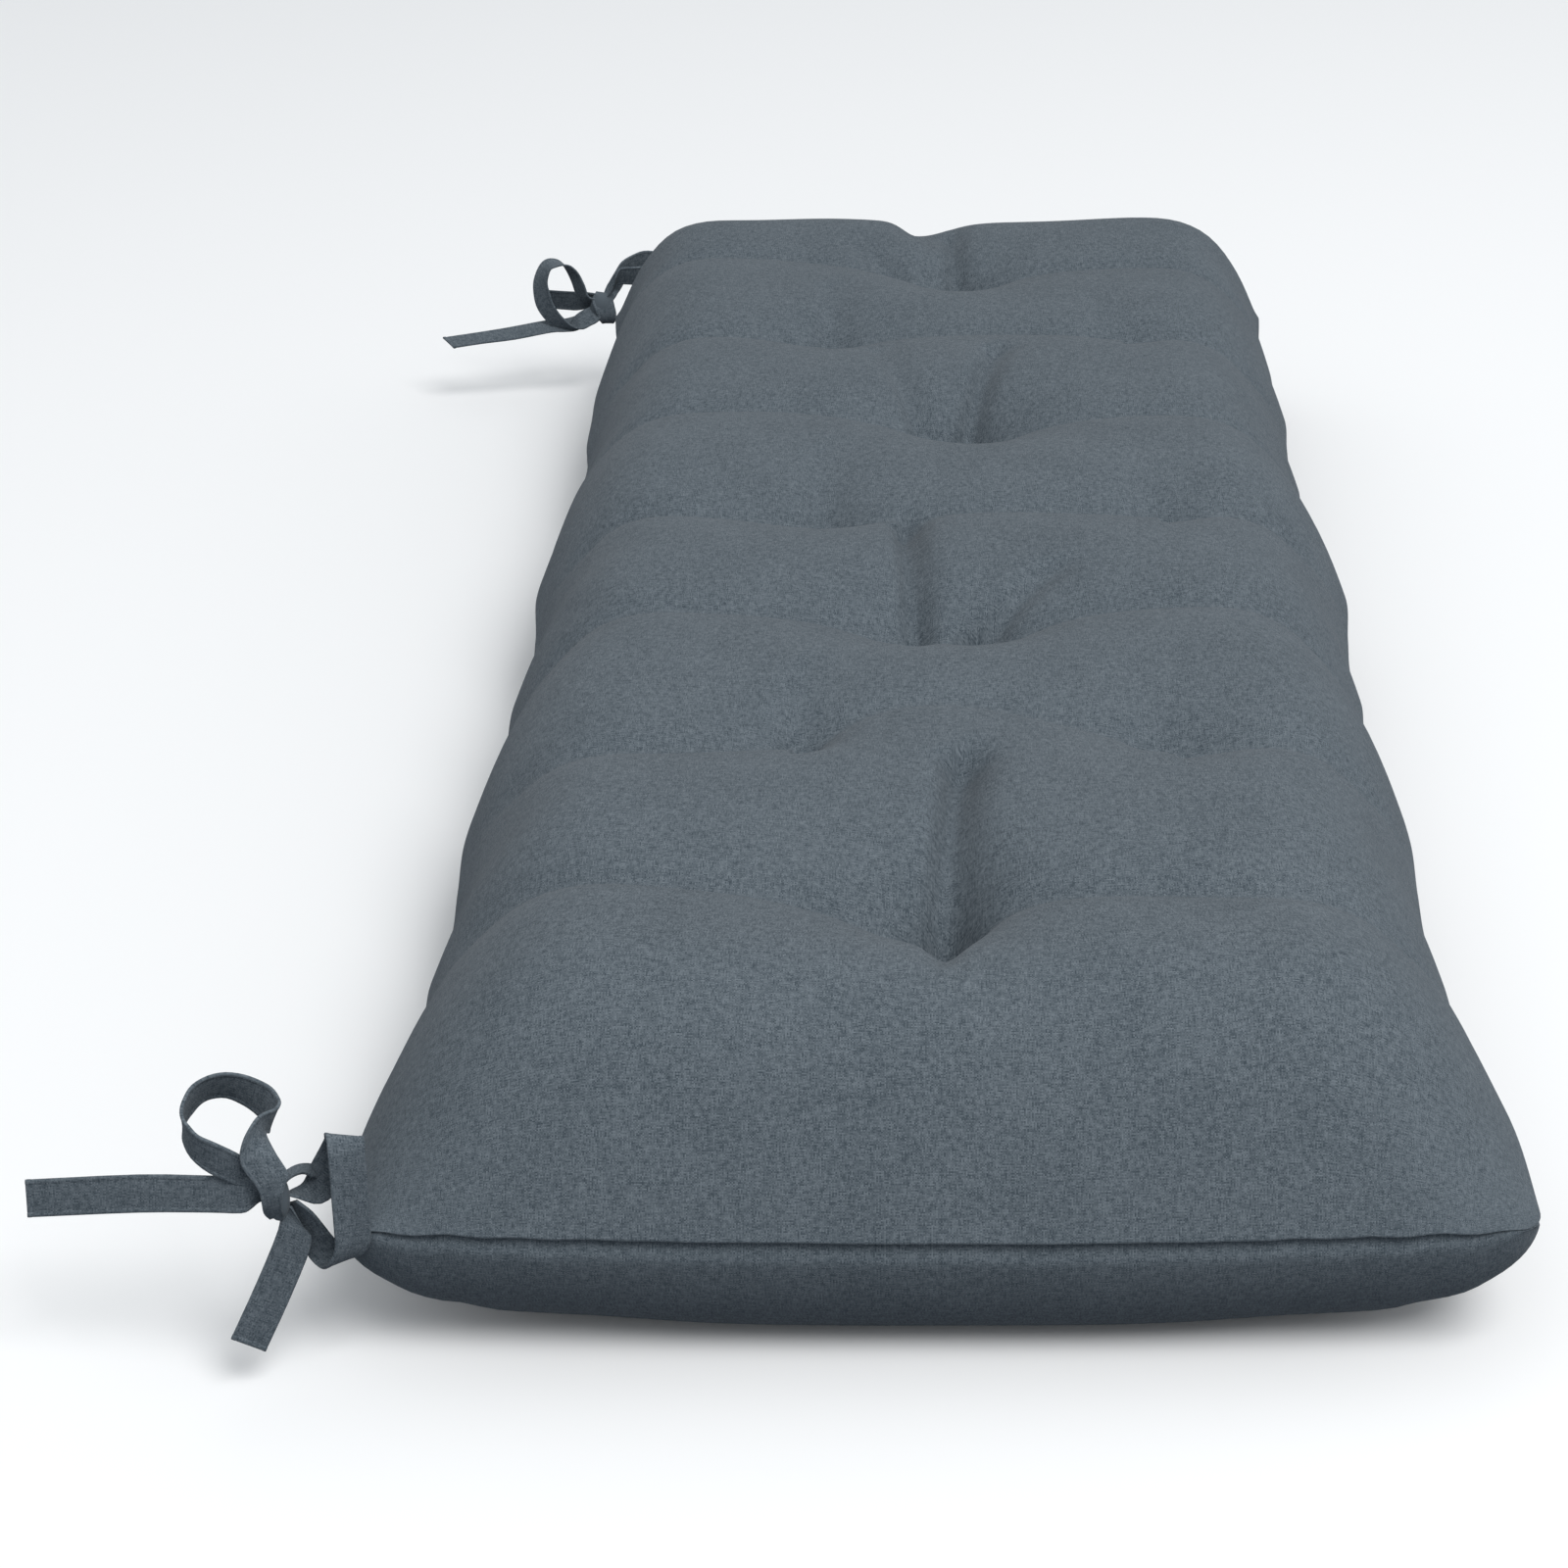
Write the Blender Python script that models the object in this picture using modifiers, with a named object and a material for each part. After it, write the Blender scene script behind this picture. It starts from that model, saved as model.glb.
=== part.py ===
"""A tufted bench cushion with a tied cloth bow at two of its corners.

The cushion lies on its back with its length along Y, the bows on the -X side and the
floor at Z = 0 under its middle. It is one filled solid: a top and an underside panel,
sewn together all round, drawn down by ten tufts and by the creases between them.
Each tie is one hemmed strip, sewn on at its middle, and tied in a bow of one loop and
two tails. Its two halves leave the seam as a ring and meet in the knot.
"""

import math

import bmesh
import bpy
import numpy as np
from mathutils import Vector

MM = 0.001

# The sewn outline
LENGTH = 1.168
WIDTH = 0.466
CORNER_RADIUS = 16 * MM
END_BOW = 5 * MM  # how far the corners stand back from the middle of an end
SEAM_HEIGHT = 60 * MM
CORNER_LIFT = 3.5 * MM

# How far the filling and the tufts draw the sides in: row, left side and right side in mm
SIDE_DRAW = (
    (0.0, 1.0, 1.0),
    (0.6, 3.0, 1.5),
    (0.85, 6.5, 6.0),
    (1.1, 13.0, 11.5),
    (1.35, 11.8, 12.2),
    (1.6, 15.0, 14.5),
    (1.95, 12.0, 12.0),
    (2.3, 8.5, 8.5),
    (2.7, 11.5, 10.0),
    (2.97, 17.0, 14.5),
    (3.15, 14.5, 15.5),
    (3.4, 13.2, 12.8),
    (3.66, 17.0, 14.0),
    (4.0, 14.5, 10.0),
    (4.4, 8.5, 4.5),
    (4.8, 9.8, 9.0),
    (5.05, 11.0, 13.5),
    (5.3, 15.8, 15.6),
    (5.6, 16.4, 13.5),
    (5.85, 16.4, 15.3),
    (6.1, 12.4, 13.5),
    (6.45, 10.5, 9.5),
    (6.8, 8.6, 11.5),
    (7.15, 10.0, 10.4),
    (7.5, 14.0, 12.5),
    (7.8, 8.5, 9.0),
    (8.0, 5.5, 6.5),
)

# The filled form above and below the seam. The top panel rises steeply from the seam and
# rounds over: the width of that border and its power, which is 1 for a straight slope.
# The underside rounds under in a quarter of an ellipse
CROWN = 85 * MM
TOP_REACH = 100 * MM
FAR_END_REACH = 70 * MM
SIDE_POWER = 3
NEAR_CORNER_SOFTENING = 1.2  # taken off the sides' power beside the near end
FAR_CORNER_FULLNESS = 1.0  # and added beside the far end
CORNER_REACH = 130 * MM
NEAR_END_POWER = 2.5
FAR_END_POWER = 3
UNDER_SIDE_REACH = 110 * MM
UNDER_END_REACH = 45 * MM
UNDER_SLACK = 0.28  # share by which that reach is greater beside the corners
UNDER_SLACK_AT = 155 * MM
UNDER_SLACK_WIDTH = 50 * MM
UNDER_CORNER_POWER = 2.3  # 2 leaves the corners of the underside slack
PRESSED = 0.3 * MM  # what lies lower than this is pressed onto the floor
RELIEF_INSET = 36 * MM  # the creases fade over this width towards the seam
LUMP = 0.6 * MM

# Each row of tufts pulls a crease across the cushion, an eighth of the length apart
ROW_PITCH = LENGTH / 8
CREASE_WIDTH = 10 * MM
CREASE_HOLLOW_WIDTH = 42 * MM
CREASE_SHARE = 0.62  # the sharp part of a crease, the rest is its soft hollow
CREASE_ROUNDING = 1.5 * MM
ROW_CENTRE_WIDTH = 78 * MM

# The crease of each row, at the left, middle and right: shift along Y and depth in mm
ROWS = (
    (1, (14, 4, 0), (13, 14, 12)),
    (2, (-8, 38, 2), (11, 6, 11)),
    (3, (8, 4, 14), (11, 12, 11)),
    (4, (0, -4, 6), (11, 9, 11)),
    (5, (16, 8, 6), (10, 12, 10)),
    (6, (8, 14, 14), (10, 8, 10)),
    (7, (30, -2, 8), (9, 10, 9)),
)

# The tufts: row, across, depth, and how wide each one draws the cloth in on its left,
# on its right and along the cushion, in mm
TUFTS = (
    (1, 6, 45, 38, 18, 34),
    (3, -14, 21, 34, 12, 30),
    (3, 21, 28, 14, 28, 26),
    (5, 20, 36, 32, 24, 30),
    (7, 16, 32, 26, 26, 30),
    (2, -66, 12, 40, 34, 28),
    (2, 112, 5, 60, 60, 26),
    (4, -66, 12, 40, 36, 28),
    (4, 120, 4, 60, 50, 26),
    (6, -70, 13, 34, 32, 26),
    (6, 120, 5, 60, 50, 26),
)
UNDER_DIMPLE_DEPTH = 12 * MM
UNDER_DIMPLE_RADIUS = 48 * MM

# Folds that run from the tufts: across in mm and row of both ends, and depth and width
# at both ends in mm
FOLDS = (
    (4, 1.04, 16, 1.80, 10, 19, 7, 9),
    (-10, 3.06, -12, 3.88, 8, 9, 8, 11),
    (20, 3.04, 60, 3.45, 12, 3, 6, 8),
    (-8, 5.08, -36, 5.80, 8, 4, 8, 11),
    (18, 5.06, 40, 5.78, 13, 7, 6, 9),
    (12, 7.04, 8, 7.55, 11, 6, 7, 9),
    (-30, 7.06, -56, 7.35, 9, 3, 11, 14),
    (-14, 7.55, -18, 8.00, 9, 14, 24, 24),
    (-68, 2.05, -64, 2.45, 8, 3, 14, 18),
    (108, 2.05, 100, 2.45, 7, 2, 28, 30),
    (-68, 4.05, -64, 4.50, 8, 3, 14, 18),
    (120, 4.05, 112, 4.45, 7, 2, 24, 26),
    (-72, 6.05, -70, 6.60, 9, 3, 13, 16),
    (116, 6.05, 108, 6.45, 5, 2, 24, 24),
    (-218, 3.50, -186, 3.18, 4, 2, 6, 6),
    (-226, 1.08, -186, 1.16, 7, 0, 8, 12),
    (-226, 2.02, -186, 1.98, 9, 0, 8, 12),
    (-226, 3.00, -186, 3.06, 10, 0, 8, 12),
    (-226, 4.00, -186, 4.00, 10, 0, 8, 12),
    (-226, 5.08, -186, 5.11, 9, 0, 8, 12),
    (-226, 6.02, -186, 6.05, 9, 0, 8, 12),
    (226, 1.02, 186, 1.00, 8, 0, 8, 12),
    (226, 2.00, 186, 2.01, 10, 0, 8, 12),
    (226, 3.06, 186, 3.10, 10, 0, 8, 12),
    (226, 4.06, 186, 4.04, 10, 0, 8, 12),
    (226, 5.04, 186, 5.04, 8, 0, 8, 12),
    (226, 6.08, 186, 6.10, 8, 0, 8, 12),
)

# Puckers of the underside beside the corners: across in mm, end and depth as a share
PUCKERS = (
    (-186, -1, 0.05),
    (190, -1, 0.05),
    (-180, 1, 0.05),
    (178, 1, 0.05),
)
PUCKER_WIDTH = 9 * MM

# The grid of a panel: steps in its border, columns between the borders, which stand
# closer together in the middle, and lines beside each crease in mm
BORDER_STEPS = 7
MIDDLE_COLUMNS = 24
MIDDLE_CLOSENESS = 0.35
END_GRID_BORDER = 84 * MM
CREASE_LINES = (-56, -34, -18, -8, 0, 8, 18, 34, 56)

# The ties: strips 15 mm wide and the corners that their stations are measured from, in mm
STRIP_THICKNESS = 1.4 * MM
NEAR_CORNER = Vector((-228.5, -584.0, 60.0))
FAR_CORNER = Vector((-228.5, 584.0, 60.0))
STRIP_STEPS = 3  # cross sections from one station to the next

# The stations of a strip, in mm from the corner of the cushion: one edge (x, y, z) and
# the other edge (x, y, z). A strip gathers where it enters the knot.
NEAR_LOOP_LEFT = (
    (-19.5, -1, 31, -20.5, 3, 22),
    (-25.5, -2.5, 37.5, -26, 0.5, 25),
    (-32.5, -3, 43.5, -34, -2, 29),
    (-40.5, -3.5, 48.5, -44, -1.5, 34),
    (-46.5, -2.5, 51, -51, 2.5, 38),
    (-50.5, 1, 53, -55, 9, 41),
    (-53.5, 5.5, 53.5, -56, 14.5, 42),
    (-55, 10.5, 54.5, -56.5, 19.5, 43),
    (-54.5, 15.5, 56.5, -55, 24.5, 44),
    (-52.5, 21, 58.5, -52.5, 29, 45.5),
    (-47.5, 26, 59.5, -49, 32, 46),
)
NEAR_LOOP_RIGHT = (
    (-49.5, 24.5, 59.2, -50.2, 31, 45.9),
    (-41.5, 28.5, 59.5, -43.5, 33.5, 45.5),
    (-35, 29.5, 58, -38, 32.5, 43.5),
    (-29, 28, 56.5, -33.5, 30, 42),
    (-24, 25.5, 55, -30, 26.5, 41),
    (-20.5, 20.5, 54, -27.5, 21.5, 41),
    (-19, 15.5, 54, -25.5, 18.5, 41),
    (-20, 10.5, 54.5, -24.5, 15.5, 41),
    (-22.5, 5.5, 56, -24.5, 12, 43),
    (-24.5, 1, 56.5, -24, 8.5, 44.5),
    (-27, -3, 54, -22.5, 5, 44.5),
    (-29.5, -5, 49.5, -20, 1, 43.5),
    (-31, -6, 43.5, -17, -3, 41.5),
    (-29.5, -7, 38, -14.5, -5, 38.5),
    (-26.5, -7.5, 33.5, -13, -7, 36.5),
    (-24.5, -8, 29.5, -14, -8, 33.5),
    (-24, -8, 25, -15.5, -9, 29),
    (-24, -6.5, 19.5, -16.5, -8, 23),
    (-23, -2.5, 14.5, -17, -5, 17.5),
)
NEAR_RING_BACK = (
    (-20, 5, 19, -18, -1, 25),
    (-16, 8.5, 20, -12, 1.5, 21),
    (-12, 11, 22, -4.5, 3.5, 17),
    (-8.5, 11, 30, 3, 6.5, 22),
    (-4.5, 10.5, 37.5, 8.5, 7, 33),
    (-1, 7.5, 45, 12.5, 6, 43),
)
NEAR_RING_FRONT = (
    (-1.5, 7, 43, 13, 6.5, 42.5),
    (-1, 4, 47.5, 13.5, 5, 45.3),
    (0.5, 0, 48, 14, 4, 44),
    (1.5, -4, 42.5, 14, 3, 37),
    (1.5, -5, 25.5, 14, 3, 21),
    (1.5, -5.5, 11, 13.5, 3.3, 7),
    (1, -5.5, 2, 12.5, 3.5, -1),
    (-2, -4.5, -5, 8.5, 4.5, -6.5),
    (-6, 1, -10.5, 4.5, 6, -6.5),
    (-9.5, 6, -12, 1.5, 6.5, -4),
    (-13, 9, -9, -1.5, 6, 0),
    (-15.5, 10, -2.5, -4.5, 5, 6),
    (-17, 9, 6, -8, 3, 13.5),
    (-19, 6.5, 15, -13, 1, 20),
)
NEAR_WRAP = (
    (-19, 1, 28.5, -17.5, -5, 28),
    (-15.5, 2.5, 32.5, -15, -4.5, 32),
    (-12.5, 8, 31.5, -12, 0, 32),
    (-9, 13, 28.5, -9.5, 5, 29.5),
    (-5, 14.5, 25.5, -6.5, 7, 26),
)
NEAR_LONG_TAIL = (
    (-21.5, -2, 27.5, -22.5, 2, 20.5),
    (-25, -3, 30.5, -26.5, -1, 21),
    (-28, -3, 32.5, -29.5, -3, 19),
    (-31.5, -1.5, 32.5, -33, -4.5, 18),
    (-45, 0.5, 31.5, -45.5, -2.5, 17),
    (-73, 6, 28.5, -73.5, 2, 14),
    (-118, 12.5, 22, -118, 9.5, 7),
)
NEAR_SHORT_TAIL = (
    (-21, 2, 19, -15, 1, 17),
    (-20, 0, 14.5, -12, 3.5, 6.5),
    (-20.5, -1.5, 8.5, -9.5, 3.5, -0.5),
    (-30, -4.5, -13, -18, -1.5, -21),
    (-41, -9.5, -35.5, -29, -6.5, -43.5),
)
NEAR_KNOT = (-19.5, -1, 23, 4.5, 5.5, 10)  # centre and half sizes

FAR_LOOP = (
    (-16, 3.5, 8.5, -10, -3.5, 12),
    (-22, 6, 7.5, -16.5, -6, 15),
    (-26.5, 5, 14, -19, -5, 22.5),
    (-29, 5, 22.5, -23, -5, 31.5),
    (-32.5, 5.5, 31, -28, -7.5, 37.5),
    (-36.5, 6.5, 36.5, -33.5, -8.5, 38.5),
    (-41.5, 5.5, 39, -38, -9.5, 37.5),
    (-47, 4, 38.5, -41.5, -10, 36),
    (-51.5, 2, 34, -43.5, -10, 31.5),
    (-55, 0, 25.5, -44.5, -10, 26),
    (-55.5, -2, 17.5, -43.5, -10, 20),
    (-54, -3.5, 8, -41, -10.5, 11),
    (-49.5, -4.5, 0, -37, -11.5, 4.5),
    (-43, -5, -7, -32.5, -13, 0),
    (-37, -4.5, -10.5, -27, -13.5, -4.5),
    (-32, -4, -7.5, -20.5, -13.5, -6),
    (-27.5, -4, 0, -15.5, -11, -4.5),
    (-21.5, -2, 4, -10.5, -10, -2),
    (-16.5, -0.5, 6, -8, -7.5, 1.5),
    (-14, 1, 8.5, -8, -5, 5),
)
FAR_RING = (
    (-7.5, 2, 12.5, -2.5, -4, 8.5),
    (-4.5, 7, 19.5, 2, -1, 13.5),
    (2, 5, 30, 5, 11, 16.5),
    (6.5, 9, 36, 8.5, 15, 22),
    (13.5, 13, 39.5, 14, 17, 25),
    (21.5, 15, 42, 21.5, 17, 27),
    (30, 13.5, 41, 28, 15, 26.5),
    (34, 8, 31, 24.5, 10, 19.5),
    (31, 3, 18, 19.5, 3.5, 8.5),
    (27.5, -2, 7, 16.5, -2, -3),
)
FAR_RING_RETURN = (
    (27.5, -3, 6, 16.5, -3, -4),
    (31, -2.3, 17, 20, -2, 7.5),
    (32, 0.5, 29, 24.5, 1.5, 16),
    (29, 2, 38.5, 27, 3.5, 24),
    (22, -2, 36, 19.5, 2, 21.5),
    (13.5, -4.5, 36, 11, 0.5, 22),
    (6.5, -6, 35.5, 4, 0, 22),
    (3, -6.5, 29, -1, 0.5, 16.5),
    (0.5, -5, 21.5, -5, -1, 12),
    (-2.5, -4.5, 15.5, -7.5, -1.5, 8.5),
)
FAR_WRAP = (
    (-12, 3, 16, -2, 0, 15.5),
    (-14.5, -4, 12, 0.5, -4, 10.5),
    (-12, -7.5, 5, 2.5, -7, 3.5),
    (-9.5, -7, -1.5, 1.5, -6, -2.5),
    (-8, -3, -5, -1, -2, -5),
    (-8, 1, -2, -2, 2, -2),
)
FAR_LONG_TAIL = (
    (-10.5, 3, 5.5, -8, -5, 3),
    (-20, 4, 1, -16.5, -8, -2.5),
    (-30, 4, -3, -25, -10, -8),
    (-39.5, 2.5, -4.5, -34, -10.5, -9),
    (-49, 2, -5, -43.5, -12, -9),
    (-74, -2.5, -8.5, -68.5, -15.5, -13),
    (-97, -5.5, -11.5, -91, -18.5, -15),
    (-120.5, -9, -14, -111.5, -21, -17.5),
)
FAR_SHORT_TAIL = (
    (-8.5, -0.5, 15, -8.5, 2.5, 6.5),
    (-17.5, -0.5, 16.5, -18, 6.5, 3),
    (-27, 4.5, 15.5, -26.5, 7.5, 1),
    (-35.5, 7.5, 15, -34.5, 10.5, 0.5),
    (-49, 10.5, 15, -46.5, 13.5, 0.5),
)
FAR_KNOT = (-7.5, -1.5, 6, 8.5, 5.8, 10.5)

# Linear colours and roughness of the cloth
CLOTH_COLOUR = (0.112, 0.137, 0.158, 1)
CLOTH_ROUGHNESS = 0.9


def clear_scene():
    for obj in list(bpy.data.objects):
        bpy.data.objects.remove(obj, do_unlink=True)


def cloth_material(name):
    material = bpy.data.materials.new(name)
    material.use_nodes = True
    shader = material.node_tree.nodes["Principled BSDF"]
    shader.inputs["Base Color"].default_value = CLOTH_COLOUR
    shader.inputs["Roughness"].default_value = CLOTH_ROUGHNESS
    shader.inputs["Metallic"].default_value = 0
    return material


def row_y(row):
    return -LENGTH / 2 + row * ROW_PITCH


def valley(distance, width, rounding=CREASE_ROUNDING):
    """1 on the line of a fold, falling off on both sides, with a slightly rounded bottom."""
    rounded = np.sqrt(distance**2 + rounding**2) - rounding
    return np.exp(-rounded / width)


def rise(inset, reach, power):
    """0 on the seam, 1 from reach inwards."""
    return 1 - (1 - np.clip(inset / reach, 0, 1)) ** power


def smooth_between(at, places, values):
    """A smooth curve through the values that a table gives at its places."""
    places, values = np.array(places), np.array(values)
    slopes = np.gradient(values, places)
    k = np.clip(np.searchsorted(places, at) - 1, 0, len(places) - 2)
    span = places[k + 1] - places[k]
    t = (at - places[k]) / span
    start = (1 + 2 * t) * (1 - t) ** 2 * values[k] + t * (1 - t) ** 2 * span * slopes[k]
    return start + t**2 * (3 - 2 * t) * values[k + 1] - t**2 * (1 - t) * span * slopes[k + 1]


def insets(x, y):
    """How far each point of the flat panel is from its side and from its end."""
    return WIDTH / 2 - np.abs(x), LENGTH / 2 - np.abs(y)


def across_row(values, x):
    """Blends the left, middle and right value of a row at x."""
    left, middle, right = values
    side = np.where(x < 0, left, right)
    return side + (middle - side) * np.exp(-((x / ROW_CENTRE_WIDTH) ** 2))


def row_line(row, shifts, x):
    """Where the crease of a row runs at x."""
    return row_y(row) + across_row(shifts, x) * MM


def outline(x, y):
    """Moves the points of a flat rectangular panel to the outline that the filling gives it."""
    side_inset, end_inset = insets(x, y)
    rows, left, right = zip(*SIDE_DRAW)
    at = (y + LENGTH / 2) / ROW_PITCH
    draw = np.where(x < 0, smooth_between(at, rows, left), smooth_between(at, rows, right)) * MM
    corner = np.clip(1 - side_inset / CORNER_RADIUS, 0, 1) * np.clip(1 - end_inset / CORNER_RADIUS, 0, 1)
    rounding = corner**2 * CORNER_RADIUS * (1 - math.sqrt(0.5))
    across = np.abs(2 * x / WIDTH)
    moved_x = x - np.sign(x) * (across * draw + rounding)
    moved_y = y * (1 - 2 * END_BOW / LENGTH * across**2.5) - np.sign(y) * rounding
    return moved_x, moved_y


def seam_height(x, y):
    return SEAM_HEIGHT + CORNER_LIFT * np.abs(2 * x / WIDTH) ** 2.5 * np.abs(2 * y / LENGTH) ** 8


def lumps(x, y):
    """The slow unevenness of loose filling."""
    slow = np.sin(31 * x + 17 * y + 0.6) + np.sin(-23 * x + 29 * y + 2.1)
    return LUMP * (slow + 0.6 * np.sin(57 * x + 11 * y) * np.sin(47 * y + 1.3))


def relief(x, y):
    """How far the tufts, the creases of their rows and their folds lower the top."""
    lowered = np.zeros_like(x)
    for row, shifts, depths in ROWS:
        away = y - row_line(row, shifts, x)
        sharp = CREASE_SHARE * valley(away, CREASE_WIDTH)
        soft = (1 - CREASE_SHARE) * np.exp(-((away / CREASE_HOLLOW_WIDTH) ** 2))
        lowered += across_row(depths, x) * MM * (sharp + soft)
    for row, across, depth, left, right, along in TUFTS:
        aside = x - across * MM
        reach_x = np.where(aside < 0, left, right) * MM
        lowered += depth * MM * valley(np.hypot(aside / reach_x, (y - tuft_y(row, across)) / (along * MM)), 1, 0.1)
    for x0, row0, x1, row1, depth0, depth1, width0, width1 in FOLDS:
        start = np.array((x0 * MM, row_y(row0)))
        run = np.array((x1 * MM, row_y(row1))) - start
        along = np.clip(((x - start[0]) * run[0] + (y - start[1]) * run[1]) / (run @ run), 0, 1)
        away = np.hypot(x - start[0] - along * run[0], y - start[1] - along * run[1])
        depth, width = depth0 + (depth1 - depth0) * along, width0 + (width1 - width0) * along
        lowered += depth * MM * np.exp(-((away / (width * MM)) ** 2))
    return lowered


def tuft_y(row, across):
    """A tuft lies on the crease of its row."""
    shifts = ROWS[row - 1][1]
    return float(row_line(row, shifts, np.array(across * MM)))


def fade_at_side(x, y):
    """0 on the seam of the side, and 1 where the creases have their full depth."""
    fade = np.clip(insets(x, y)[0] / RELIEF_INSET, 0, 1)
    return fade**2 * (3 - 2 * fade)


def top_height(x, y):
    side_inset, end_inset = insets(x, y)
    near = np.exp(-(((LENGTH / 2 + y) / CORNER_REACH) ** 2))
    far = np.exp(-(((LENGTH / 2 - y) / CORNER_REACH) ** 2))
    side_power = SIDE_POWER - NEAR_CORNER_SOFTENING * near + FAR_CORNER_FULLNESS * far
    over_side = rise(side_inset, TOP_REACH, side_power)
    over_near_end = rise(end_inset, TOP_REACH, NEAR_END_POWER)
    over_far_end = rise(end_inset, FAR_END_REACH, FAR_END_POWER)
    full = over_side * np.where(y < 0, over_near_end, over_far_end)
    lowered = relief(x, y) * fade_at_side(x, y)
    return seam_height(x, y) + full * (CROWN + lumps(x, y) - lowered)


def under_height(x, y):
    side_inset, end_inset = insets(x, y)
    side_gap = 1 - np.sqrt(rise(side_inset, UNDER_SIDE_REACH, 2))
    slack = UNDER_SLACK * np.exp(-(((np.abs(x) - UNDER_SLACK_AT) / UNDER_SLACK_WIDTH) ** 2))
    end_gap = 1 - np.sqrt(rise(end_inset, UNDER_END_REACH * (1 + slack), 2))
    gap = (side_gap**UNDER_CORNER_POWER + end_gap**UNDER_CORNER_POWER) ** (1 / UNDER_CORNER_POWER)
    full = 1 - np.minimum(gap, 1)
    for across, end, share in PUCKERS:
        near_end = np.clip(1 - end_inset / UNDER_END_REACH, 0, 1) * (np.sign(y) == end)
        full = full * (1 - share * valley(x - across * MM, PUCKER_WIDTH) * np.sqrt(near_end))
    height = seam_height(x, y) * (1 - full)
    for row, across, *_ in TUFTS:
        away = np.hypot(x - across * MM, y - tuft_y(row, across)) / UNDER_DIMPLE_RADIUS
        height += UNDER_DIMPLE_DEPTH * np.clip(1 - away**2, 0, 1) ** 2
    return np.where(height < PRESSED, 0, height)


def border_lines(half, border):
    """Grid lines on the border of the form, closer together where it is steep."""
    angles = np.arange(BORDER_STEPS) / BORDER_STEPS * math.pi / 2
    return -half + border * (1 - np.cos(angles))


def panel_columns():
    edge = border_lines(WIDTH / 2, TOP_REACH)
    even = np.linspace(-1, 1, MIDDLE_COLUMNS + 1)
    spread = even * (1 + MIDDLE_CLOSENESS * even**2) / (1 + MIDDLE_CLOSENESS)
    return np.concatenate([edge, spread * (WIDTH / 2 - TOP_REACH), -edge[::-1]])


def panel_rows():
    edge = border_lines(LENGTH / 2, END_GRID_BORDER)
    lines = np.array([row_y(row) + line * MM for row, *_ in ROWS for line in CREASE_LINES])
    return np.concatenate([edge, lines[np.abs(lines) < LENGTH / 2 - END_GRID_BORDER], -edge[::-1]])


def crease_shift(x, y):
    """How far a grid line of the top moves along the cushion to follow the creases."""
    shift = np.zeros_like(x)
    for row, shifts, _ in ROWS:
        nearness = np.clip(1 - np.abs(y - row_y(row)) / ROW_PITCH, 0, 1)
        shift += nearness * across_row(shifts, x) * MM
    return shift * fade_at_side(x, y)


def add_panel(bm, height_of, shift_of=None):
    """Adds one panel: a grid of quads, laid on its outline and raised to its height."""
    columns, rows = panel_columns(), panel_rows()
    made = bmesh.ops.create_grid(bm, x_segments=len(columns) - 1, y_segments=len(rows) - 1, size=1)
    verts = made["verts"]
    grid = np.array([vert.co[:2] for vert in verts])
    x = columns[np.rint((grid[:, 0] + 1) / 2 * (len(columns) - 1)).astype(int)]
    y = rows[np.rint((grid[:, 1] + 1) / 2 * (len(rows) - 1)).astype(int)]
    if shift_of:
        y = y + shift_of(x, y)
    moved_x, moved_y = outline(x, y)
    for vert, place in zip(verts, zip(moved_x, moved_y, height_of(x, y))):
        vert.co = place


def make_cushion(collection, material):
    bm = bmesh.new()
    add_panel(bm, top_height, crease_shift)
    under = bmesh.new()
    add_panel(under, under_height)
    bmesh.ops.reverse_faces(under, faces=under.faces)
    flat_edges = [edge for edge in under.edges if max(abs(v.co.z) for v in edge.verts) < 1e-6]
    flat_verts = list({vert for edge in flat_edges for vert in edge.verts})
    bmesh.ops.dissolve_limit(under, angle_limit=1e-4, verts=flat_verts, edges=flat_edges)
    under_mesh = bpy.data.meshes.new("under_panel")
    under.to_mesh(under_mesh)
    under.free()
    bm.from_mesh(under_mesh)
    bpy.data.meshes.remove(under_mesh)
    bmesh.ops.remove_doubles(bm, verts=bm.verts, dist=1e-6)
    mesh = bpy.data.meshes.new("cushion")
    bm.to_mesh(mesh)
    bm.free()
    mesh.shade_smooth()
    mesh.materials.append(material)
    cushion = bpy.data.objects.new("cushion", mesh)
    collection.objects.link(cushion)
    return cushion


def smooth_route(stations):
    """Points of both edges on Catmull-Rom curves through a strip's stations."""
    knots = np.array(stations, float)
    padded = np.vstack([2 * knots[0] - knots[1], knots, 2 * knots[-1] - knots[-2]])
    route = []
    for before, start, end, after in zip(padded, padded[1:], padded[2:], padded[3:]):
        for t in np.arange(STRIP_STEPS) / STRIP_STEPS:
            bend = 2 * before - 5 * start + 4 * end - after
            turn = 3 * start - before - 3 * end + after
            route.append(start + 0.5 * ((end - before) * t + bend * t**2 + turn * t**3))
    return np.array([*route, knots[-1]])


def make_strip(name, stations, corner, collection):
    """A flat hemmed strip along its stations: a one-quad-wide grid, thickened both ways."""
    route = smooth_route(stations)
    bm = bmesh.new()
    bmesh.ops.create_grid(bm, x_segments=1, y_segments=len(route) - 1, size=1)
    for vert in bm.verts:
        edges = route[round((vert.co.y + 1) / 2 * (len(route) - 1))]
        edge = edges[:3] if vert.co.x < 0 else edges[3:]
        vert.co = (Vector(edge) + corner) * MM
    mesh = bpy.data.meshes.new(name)
    bm.to_mesh(mesh)
    bm.free()
    strip = bpy.data.objects.new(name, mesh)
    thicken = strip.modifiers.new("thickness", "SOLIDIFY")
    thicken.thickness = STRIP_THICKNESS
    thicken.offset = 0
    strip.hide_render = True
    strip.display_type = "WIRE"
    collection.objects.link(strip)
    return strip


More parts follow.
